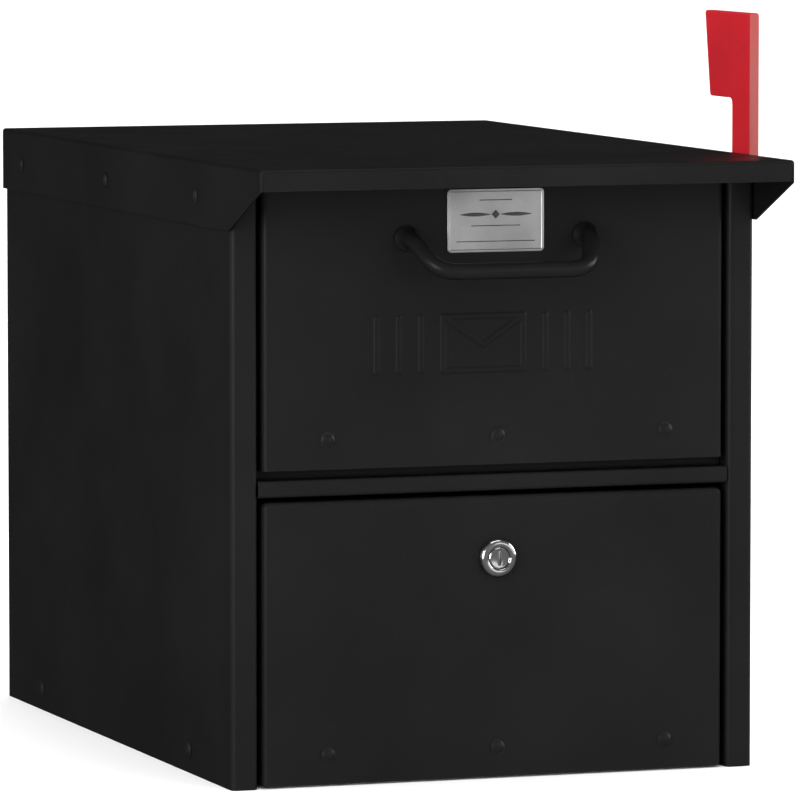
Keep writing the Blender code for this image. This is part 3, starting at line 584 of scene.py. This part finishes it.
def rails():
    low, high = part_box("header_rail")
    leg = FRONT + HEADER_LEG
    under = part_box("upper_door_panel")[1].z + HEADER_GAP
    outline = [(FRONT, high.z), (FRONT, under), (leg, under), (leg, low.z)]
    radii = (FOLD,) * (len(outline) - 2)
    swept_sheet("header_strip", outline, radii, "X", low.x, high.x, (0, -1, 0), "header_rail")
    low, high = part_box("centre_rail")
    shoulder = low.z + RAIL_FACE
    step = FRONT + RAIL_STEP
    outline = [
        (FRONT + RAIL_FLANGE, low.z), (FRONT, low.z), (FRONT, shoulder), (step, shoulder),
        (step, high.z), (high.y, high.z),
    ]
    radii = (FOLD,) * (len(outline) - 2)
    swept_sheet("centre_strip", outline, radii, "X", low.x, high.x, (0, 0, -1), "centre_rail")


# Doors


def segment_distance(x, z, start, end):
    run_x, run_z = end[0] - start[0], end[1] - start[1]
    share = ((x - start[0]) * run_x + (z - start[1]) * run_z) / (run_x ** 2 + run_z ** 2)
    share = min(1.0, max(0.0, share))
    return math.hypot(x - start[0] - share * run_x, z - start[1] - share * run_z)


def emblem_lines():
    """The centre lines of the raised envelope and of the upright bars beside it."""
    half = EMBLEM_LINE / 2
    x, z = ENVELOPE_HALF[0] - half, ENVELOPE_HALF[1] - half
    corners = [(-x, z), (x, z), (x, -z), (-x, -z)]
    lines = list(zip(corners, corners[1:] + corners[:1]))
    lines += [(corners[0], (0.0, -0.001)), (corners[1], (0.0, -0.001))]
    for offset in EMBLEM_BARS:
        lines += [((side * offset, -z), (side * offset, z)) for side in (-1, 1)]
    return lines


def emblem_height(x, z, lines):
    near = min(segment_distance(x - EMBLEM_X, z - EMBLEM_Z, *line) for line in lines)
    share = (EMBLEM_LINE / 2 + EMBLEM_SLOPE / 2 - near) / EMBLEM_SLOPE
    share = min(1.0, max(0.0, share))
    return EMBLEM_RISE * share * share * (3 - 2 * share)


def spaced(low, high, step):
    count = max(1, math.ceil((high - low) / step))
    return [low + (high - low) * index / count for index in range(count + 1)]


def folded_rings(low, high, xs, zs):
    """Rings of points that run up the left edge, across the top and down the right edge of a
    folded pan: first the rear edges of its flanges, then round the fold to the front face."""
    top = high.z - WIDE_FOLD
    corner_left, corner_right = (low.x + WIDE_FOLD, top), (high.x - WIDE_FOLD, top)
    depths = [(0.0, high.y)]
    for step in range(FOLD_SEGMENTS + 1):
        angle = math.pi / 2 * step / FOLD_SEGMENTS
        back = FRONT + WIDE_FOLD * (1 - math.sin(angle))
        depths.append((WIDE_FOLD * (1 - math.cos(angle)), back))
    for inset, y in depths:
        radius = WIDE_FOLD - inset
        ring = [(low.x + inset, z) for z in zs]
        ring += arc(corner_left, radius, 180, 90, FOLD_SEGMENTS)[1:-1]
        ring += [(x, high.z - inset) for x in xs]
        ring += arc(corner_right, radius, 90, 0, FOLD_SEGMENTS)[1:-1]
        ring += [(high.x - inset, z) for z in reversed(zs)]
        yield [Vector((x, y, z)) for x, z in ring]


def door_skin(name, node, body, lines=()):
    """A door's skin with its top and side edges folded back, and the emblem pressed out."""
    low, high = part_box(node)
    reach_x, reach_z = EMBLEM_BARS[-1] + EMBLEM_MARGIN, ENVELOPE_HALF[1] + EMBLEM_MARGIN
    left, right, top = low.x + WIDE_FOLD, high.x - WIDE_FOLD, high.z - WIDE_FOLD
    xs, zs = [left, right], [low.z, top]
    if lines:
        xs[1:1] = spaced(EMBLEM_X - reach_x, EMBLEM_X + reach_x, EMBLEM_STEP)
        zs[1:1] = spaced(EMBLEM_Z - reach_z, EMBLEM_Z + reach_z, EMBLEM_STEP)
    bm = bmesh.new()
    grid = []
    for z in zs:
        raised = bool(lines) and abs(z - EMBLEM_Z) <= reach_z
        row = []
        for x in xs:
            near = raised and abs(x - EMBLEM_X) <= reach_x
            rise = emblem_height(x, z, lines) if near else 0.0
            row.append(bm.verts.new((x, FRONT - rise, z)))
        grid.append(row)
    for lower, upper in zip(grid, grid[1:]):
        for index in range(len(xs) - 1):
            bm.faces.new((lower[index], lower[index + 1], upper[index + 1], upper[index]))
    *outer, _ = folded_rings(low, high, xs, zs)
    rings = [[bm.verts.new(point) for point in ring] for ring in outer]
    border = [row[0] for row in grid] + [grid[-1][0]] * (FOLD_SEGMENTS - 1) + grid[-1]
    border += [grid[-1][-1]] * (FOLD_SEGMENTS - 1) + [row[-1] for row in reversed(grid)]
    rings.append(border)
    for rear, ahead in zip(rings, rings[1:]):
        for index in range(len(rear) - 1):
            corners = dict.fromkeys((rear[index], rear[index + 1], ahead[index + 1], ahead[index]))
            if len(corners) > 2:
                bm.faces.new(list(corners))
    bmesh.ops.remove_doubles(bm, verts=bm.verts, dist=0.000001)
    face_outwards(bm, min(bm.verts, key=lambda vert: vert.co.x), (-1, 0, 0))
    sheet_piece(name, bm, "powder_coat", body, node, thickness=DOOR_SHEET, folded=True)


def rivet(node, body, facing, grip):
    """A domed rivet in place of the CAD's."""
    low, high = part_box(node)
    middle = (low + high) / 2
    reach = max((low - middle).dot(facing), (high - middle).dot(facing))
    seat = middle + facing * (reach - RIVET_HEAD_HEIGHT)
    ball = (RIVET_HEAD_RADIUS ** 2 + RIVET_HEAD_HEIGHT ** 2) / (2 * RIVET_HEAD_HEIGHT)
    rim = RIVET_HEAD_RADIUS - 0.0002
    profile = [(0, RIVET_HEAD_HEIGHT)]
    for step in range(1, 8):
        radius = rim * step / 7
        profile.append((radius, math.sqrt(ball ** 2 - radius ** 2) - ball + RIVET_HEAD_HEIGHT))
    profile += [
        (RIVET_HEAD_RADIUS, 0.00015), (RIVET_HEAD_RADIUS, 0.0), (RIVET_SHANK, 0.0),
        (RIVET_SHANK, -grip), (RIVET_TAIL, -grip), (RIVET_TAIL, -grip - 0.0005),
        (RIVET_TAIL * 0.86, -grip - 0.0011), (RIVET_TAIL * 0.5, -grip - 0.0014),
        (0, -grip - 0.0015),
    ]
    bm = bmesh.new()
    lathe(bm, profile, seat, facing, 32)
    add_piece(f"{node}_dome", bm, "coated_rivet", body, node, sharp=50)


def rivets():
    hood_grip = 2 * SHEET + 0.0005 + 2 * GAP
    base_grip = 2 * SHEET + 3 * GAP
    door_grip = DOOR_SHEET + SHEET + 3 * GAP
    for name, side in (("left", -1), ("right", 1)):
        for index in (1, 2, 3):
            rivet(f"hood_rivet_{name}_{index}", "cabinet", RIGHT * side, hood_grip)
        for index in (1, 2):
            rivet(f"base_rivet_{name}_{index}", "cabinet", RIGHT * side, base_grip)
    for door in ("upper_door", "lower_door"):
        for which in ("left", "middle", "right"):
            rivet(f"{door}_rivet_{which}", door, FORWARD, door_grip)


def smooth_route(corners, radii, steps=10):
    """A route through corners, each rounded over its radius."""
    route = [Vector(corners[0])]
    for before, corner, after, radius in zip(corners, corners[1:], corners[2:], radii):
        before, corner, after = Vector(before), Vector(corner), Vector(after)
        start = corner + (before - corner).normalized() * radius
        end = corner + (after - corner).normalized() * radius
        for step in range(steps + 1):
            t = step / steps
            route.append(start.lerp(corner, t).lerp(corner.lerp(end, t), t))
    route.append(Vector(corners[-1]))
    return route


def resample(route, places):
    """Points of the route at the given distances from its start."""
    lengths = [(after - before).length for before, after in zip(route, route[1:])]
    points, travelled, index = [], 0.0, 0
    for place in places:
        while index < len(lengths) - 1 and travelled + lengths[index] < place:
            travelled += lengths[index]
            index += 1
        share = (place - travelled) / lengths[index]
        points.append(route[index].lerp(route[index + 1], share))
    return points


def tube(bm, points, radii, sides=32):
    """A round bar with a radius at each point and flat ends."""
    tangents = []
    for index in range(len(points)):
        before, after = points[max(0, index - 1)], points[min(len(points) - 1, index + 1)]
        tangents.append((after - before).normalized())
    tangents[0], tangents[-1] = FORWARD, -FORWARD
    across = UP.copy()
    rows = []
    for point, tangent, radius in zip(points, tangents, radii):
        across = (across - tangent * across.dot(tangent)).normalized()
        other = tangent.cross(across)
        row = []
        for index in range(sides):
            angle = 2 * math.pi * index / sides
            spoke = (across * math.cos(angle) + other * math.sin(angle)) * radius
            row.append(bm.verts.new(point + spoke))
        rows.append(row)
    for first, second in zip(rows, rows[1:]):
        for index in range(sides):
            after = (index + 1) % sides
            bm.faces.new((first[index], first[after], second[after], second[index]))
    bm.faces.new(rows[0])
    bm.faces.new(list(reversed(rows[-1])))


def handle():
    """A cast pull: a round bar on arms that drop from two flared feet."""
    low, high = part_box("door_handle")
    base, bar_y = high.y + HANDLE_SINK, low.y + HANDLE_RADIUS
    half = [
        (-HANDLE_FOOT_X, base, HANDLE_FOOT_Z),
        (-HANDLE_FOOT_X, base - 0.0100, HANDLE_FOOT_Z),
        (-HANDLE_BAR_X, bar_y, HANDLE_BAR_Z),
    ]
    corners = half + [(-x, y, z) for x, y, z in reversed(half)]
    route = smooth_route(corners, HANDLE_BENDS)
    length = sum((b - a).length for a, b in zip(route, route[1:]))
    flare = [place for place, _ in HANDLE_FLARE]
    middle = spaced(flare[-1] + 0.002, length - flare[-1] - 0.002, 0.0016)
    places = flare + middle + [length - place for place in reversed(flare)]
    radii = [radius for _, radius in HANDLE_FLARE] + [HANDLE_RADIUS] * len(middle)
    radii += [radius for _, radius in reversed(HANDLE_FLARE)]
    bm = bmesh.new()
    tube(bm, resample(route, places), radii)
    add_piece("pull_handle", bm, "handle_coat", "upper_door", "door_handle", sharp=60)


def name_plate():
    """A plate with a raised rim and a plain ornament in place of any lettering."""
    low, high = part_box("name_plate")
    middle = (low + high) / 2

    def to_world(a, b, height):
        return Vector((middle.x + a, high.y - height, middle.z + b))

    bm = bmesh.new()
    half_x, half_z = (high.x - low.x) / 2, (high.z - low.z) / 2
    top = extruded(bm, rounded_rectangle(half_x, half_z, PLATE_CORNER), to_world, high.y - low.y)
    bmesh.ops.recalc_face_normals(bm, faces=bm.faces)
    bmesh.ops.inset_region(bm, faces=[top], thickness=PLATE_RIM)
    bmesh.ops.inset_region(bm, faces=[top], thickness=PLATE_RECESS, depth=-PLATE_RECESS)
    plate = add_piece("badge_plate", bm, "plate_metal", "upper_door", "name_plate")
    round_edges(plate, 0.00018, 2, 25)
    weigh_normals(plate)

    root = high.y - low.y - PLATE_RECESS - PLATE_INLAY

    def spindle(centre_a, centre_b, half_a, half_b):
        points = []
        for start, sign in ((-1, 1), (1, -1)):
            for step in range(12):
                share = start + sign * step / 6
                bulge = sign * half_b * (1 - share ** 2)
                points.append((centre_a + half_a * share, centre_b + bulge))
        return points

    shapes = [spindle(side * 0.0125, 0.0035, 0.0100, 0.0011) for side in (-1, 1)]
    shapes.append([(0.0026, 0.0035), (0.0, 0.0061), (-0.0026, 0.0035), (0.0, 0.0009)])
    for height, half_a, half_b in PLATE_LINES:
        line = rounded_rectangle(half_a, half_b, half_b * 0.9, 3)
        shapes.append([(a, height + b) for a, b in line])
    bm = bmesh.new()
    for shape in shapes:
        extruded(bm, shape, lambda a, b, height: to_world(a, b, root + height), 0.00035)
    ornament = add_piece("badge_ornament", bm, "plate_metal", "upper_door", material=INK)
    round_edges(ornament, 0.00006, 1, 40)


def doors():
    door_skin("upper_door_skin", "upper_door_panel", "upper_door", emblem_lines())
    door_skin("lower_door_skin", "lower_door_panel", "lower_door")
    handle()
    name_plate()


# Lock


def lock():
    low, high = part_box("lock_housing")
    centre_x, centre_z = (low.x + high.x) / 2, (low.z + high.z) / 2
    seat = low.y + LOCK_BEZEL_HEIGHT
    rear = seat - high.y
    rim = (high.x - low.x) / 2
    bore, barrel, top = LOCK_PLUG_RADIUS + GAP, LOCK_BARREL_RADIUS, LOCK_BEZEL_HEIGHT
    profile = [
        (bore, top - 0.0007), (bore + 0.0003, top - 0.0003), (bore + 0.0007, top - 0.0001),
        (rim - 0.0032, top),
    ]
    profile += arc((rim - 0.0030, top - 0.0030), 0.0030, 88, 4, 9)
    profile += [
        (rim, top - 0.0034), (rim, 0.0003), (rim - 0.0003, 0.0), (barrel, 0.0),
        (barrel, rear + 0.0006), (barrel - 0.0006, rear), (bore, rear),
    ]
    place = Vector((centre_x, seat, centre_z))
    bm = bmesh.new()
    lathe(bm, profile, place, FORWARD, 72, ring=True)
    add_piece("lock_shell", bm, "chrome", "lower_door", "lock_housing", sharp=50)

    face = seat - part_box("lock_plug")[0].y
    profile = [
        (0, face - 0.0001), (LOCK_PLUG_RADIUS - 0.0016, face - 0.0001),
        (LOCK_PLUG_RADIUS - 0.0012, face), (LOCK_PLUG_RADIUS - 0.0005, face),
        (LOCK_PLUG_RADIUS - 0.0001, face - 0.0003), (LOCK_PLUG_RADIUS, face - 0.0008),
        (LOCK_PLUG_RADIUS, rear + 0.0004), (LOCK_PLUG_RADIUS - 0.0004, rear + 0.0001),
        (0, rear + 0.0001),
    ]
    bm = bmesh.new()
    lathe(bm, profile, place, FORWARD, 64)
    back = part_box("lock_plug")[1].y
    plug = add_piece("key_plug", bm, "chrome", "lock_plug", "lock_plug")
    width, height, depth = KEYWAY

    def column(shape, half_x, half_z, start, end):
        near = (centre_x - half_x, start, centre_z - half_z)
        add_block(shape, near, (centre_x + half_x, end, centre_z + half_z))

    front = seat - face
    cut(plug, lambda shape: column(shape, width / 2, height / 2, front - 0.002, front + depth))
    bm = bmesh.new()
    column(bm, LOCK_SQUARE_HALF, LOCK_SQUARE_HALF, seat - rear - 0.0002, back)
    boss = add_piece("plug_square", bm, "chrome", "lock_plug")
    round_edges(boss, 0.0002, 2, 40)
    bm = bmesh.new()
    column(bm, width / 2 - 0.0002, height / 2 - 0.0002, front + 0.0010, front + 0.0040)
    gate = add_piece("keyway_shutter", bm, "zinc_steel", "lock_plug")
    round_edges(gate, 0.00025, 3, 40)


# Flag


def flag():
    low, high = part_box("flag")
    pivot = Vector((low.x, low.y + FLAG_STEM_HALF, low.z + FLAG_STEM_HALF))
    top, rear = high.z - pivot.z, high.y - pivot.y
    corner, inner = FLAG_CORNER, FLAG_INNER_CORNER
    outline = arc((0, 0), FLAG_STEM_HALF, 180, 360, 28)
    outline += arc((FLAG_STEM_HALF + inner, FLAG_BLADE_BOTTOM - inner), inner, 180, 90, 6)
    outline += arc(
        (FLAG_REAR_BOTTOM - corner, FLAG_BLADE_BOTTOM + corner), corner, -90, 0, 5
    )
    outline += arc((rear - corner, top - corner), corner, 0, 90, 5)
    outline += arc((corner - FLAG_STEM_HALF, top - corner), corner, 90, 180, 5)

    def to_world(a, b, height):
        return pivot + Vector((height, a, b))

    bm = bmesh.new()
    extruded(bm, outline, to_world, high.x - low.x)
    arm = add_piece("signal_flag", bm, "red_plastic", "flag", "flag")
    round_edges(arm, 0.0010, 4, 50)
    weigh_normals(arm)


def flag_fittings():
    low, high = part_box("flag_pivot_bolt")
    middle = (low + high) / 2
    seat = high.x - BOLT_HEAD_HEIGHT
    end = low.x - seat
    place = Vector((seat, middle.y, middle.z))
    profile = [(0.0034, 0.0033)] + arc((0.0, -0.0074), 0.0108, 70, 49, 6)
    profile += [
        (BOLT_HEAD_RADIUS, 0.0003), (BOLT_HEAD_RADIUS, 0.0), (BOLT_RADIUS, 0.0),
        (BOLT_RADIUS, end + 0.0005), (BOLT_RADIUS - 0.0005, end), (0, end),
    ]
    bm = bmesh.new()
    rows = lathe(bm, profile, place, RIGHT, BOLT_SIDES)
    turn = turned_to(place, RIGHT)
    hexes = []
    for height in (0.0033, 0.0014):
        row = []
        for index in range(BOLT_SIDES):
            angle = 2 * math.pi * index / BOLT_SIDES
            radius = BOLT_SOCKET / math.cos((angle + math.pi / 6) % (math.pi / 3) - math.pi / 6)
            spoke = Vector((radius * math.cos(angle), radius * math.sin(angle), height))
            row.append(bm.verts.new(turn @ spoke))
        hexes.append(row)
    for upper, lower in ((rows[0], hexes[0]), (hexes[0], hexes[1])):
        for index in range(BOLT_SIDES):
            after = (index + 1) % BOLT_SIDES
            bm.faces.new((upper[index], upper[after], lower[after], lower[index]))
    bm.faces.new(hexes[1])
    add_piece("flag_bolt", bm, "zinc_steel", "cabinet", "flag_pivot_bolt", sharp=35)

    low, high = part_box("flag_spacer")
    middle, height = (low + high) / 2, high.x - low.x
    outer = (high.z - low.z) / 2
    profile = [
        (WASHER_BORE, height), (outer - WASHER_EDGE, height), (outer, height - WASHER_EDGE),
        (outer, WASHER_EDGE), (outer - WASHER_EDGE, 0), (WASHER_BORE, 0),
    ]
    bm = bmesh.new()
    lathe(bm, profile, Vector((low.x, middle.y, middle.z)), RIGHT, ring=True)
    add_piece("flag_washer", bm, "nylon", "cabinet", "flag_spacer", sharp=30)


def dress_cad():
    """Gives the CAD nodes their finishes, and eases the edges of those that still show."""
    slots = {row["node"]: row["material_slot"] for row in frame["record"]["subparts"]}
    for name, node in frame["nodes"].items():
        for holder in node.material_slots:
            holder.material = SLOT_MATERIALS[slots[name]]
    for name in EASED:
        node = frame["nodes"][name]
        weld = node.modifiers.new("Weld", "WELD")
        weld.merge_threshold = 0.000005
        round_edges(node, 0.00025, 2, 40)


# Studio


def studio():
    bm = bmesh.new()
    bmesh.ops.create_grid(bm, x_segments=1, y_segments=1, size=FLOOR_SIZE)
    mesh = bpy.data.meshes.new("floor")
    bm.to_mesh(mesh)
    bm.free()
    floor = bpy.data.objects.new("floor", mesh)
    scene.collection.objects.link(floor)
    paint = Shader("pale_floor", (0.86, 0.86, 0.86), 0.7, specular=0.1)
    tone = paint.mix(paint.ramp(paint.noise(3.0), 0.3, 0.7), paint.shade(0.985), paint.shade(1.0))
    paint.link(tone, "Base Color")
    mesh.materials.append(paint.material)
    floor.visible_glossy = False


def world():
    """White to the camera. A dome, brightest at the horizon, lights the object, and reflections
    see a dim room that is brighter in front."""
    made = bpy.data.worlds.new("studio")
    scene.world = made
    made.use_nodes = True
    made.cycles.sampling_method = "NONE"
    tree = made.node_tree
    tree.nodes.clear()
    path = tree.nodes.new("ShaderNodeLightPath")
    place = tree.nodes.new("ShaderNodeTexCoord")
    split = tree.nodes.new("ShaderNodeSeparateXYZ")
    tree.links.new(place.outputs["Generated"], split.inputs[0])

    def background(axis=None, start=0.0, end=0.0, low=1.0, high=1.0):
        shade = tree.nodes.new("ShaderNodeBackground")
        shade.inputs["Color"].default_value = (1, 1, 1, 1)
        shade.inputs["Strength"].default_value = low
        if axis:
            spread = tree.nodes.new("ShaderNodeMapRange")
            tree.links.new(split.outputs[axis], spread.inputs["Value"])
            for key, value in (
                ("From Min", start), ("From Max", end), ("To Min", low), ("To Max", high)
            ):
                spread.inputs[key].default_value = value
            tree.links.new(spread.outputs[0], shade.inputs["Strength"])
        return shade

    last = background("Z", 0.0, 1.0, *DOME).outputs[0]
    room = background("Y", -0.9, 0.3, *ROOM)
    for ray, shade in (("Is Glossy Ray", room), ("Is Camera Ray", background())):
        mix = tree.nodes.new("ShaderNodeMixShader")
        tree.links.new(path.outputs[ray], mix.inputs[0])
        tree.links.new(last, mix.inputs[1])
        tree.links.new(shade.outputs[0], mix.inputs[2])
        last = mix.outputs[0]
    out = tree.nodes.new("ShaderNodeOutputWorld")
    tree.links.new(last, out.inputs["Surface"])


def direction(azimuth, elevation):
    """Away from the object. Azimuth 0 is in front, and positive is to its right."""
    a, e = math.radians(azimuth), math.radians(elevation)
    return Vector((math.sin(a) * math.cos(e), -math.cos(a) * math.cos(e), math.sin(e)))


def softbox(name, azimuth, elevation, distance, width, height, radiance):
    """An area light that faces the object."""
    away = direction(azimuth, elevation)
    data = bpy.data.lights.new(name, "AREA")
    data.shape = "RECTANGLE"
    data.size = width
    data.size_y = height
    data.energy = radiance * math.pi * width * height
    light = bpy.data.objects.new(name, data)
    light.location = UP * LIT_HEIGHT + away * distance
    light.rotation_mode = "QUATERNION"
    light.rotation_quaternion = away.to_track_quat("Z", "Y")
    light.visible_camera = False
    scene.collection.objects.link(light)


def camera():
    data = bpy.data.cameras.new("camera")
    data.sensor_width = 36.0
    data.lens = CAMERA_LENS
    data.clip_start, data.clip_end = 0.1, 300.0
    made = bpy.data.objects.new("camera", data)
    scene.collection.objects.link(made)
    made.location = CAMERA_PLACE
    made.rotation_mode = "QUATERNION"
    away = direction(CAMERA_AZIMUTH, CAMERA_ELEVATION)
    made.rotation_quaternion = (-away).to_track_quat("-Z", "Y")
    scene.camera = made


dress_cad()
hood()
walls()
rails()
doors()
rivets()
lock()
flag()
flag_fittings()
studio()
world()
for light, settings in SOFTBOXES.items():
    softbox(light, *settings)
camera()
scene.view_settings.view_transform = "Standard"
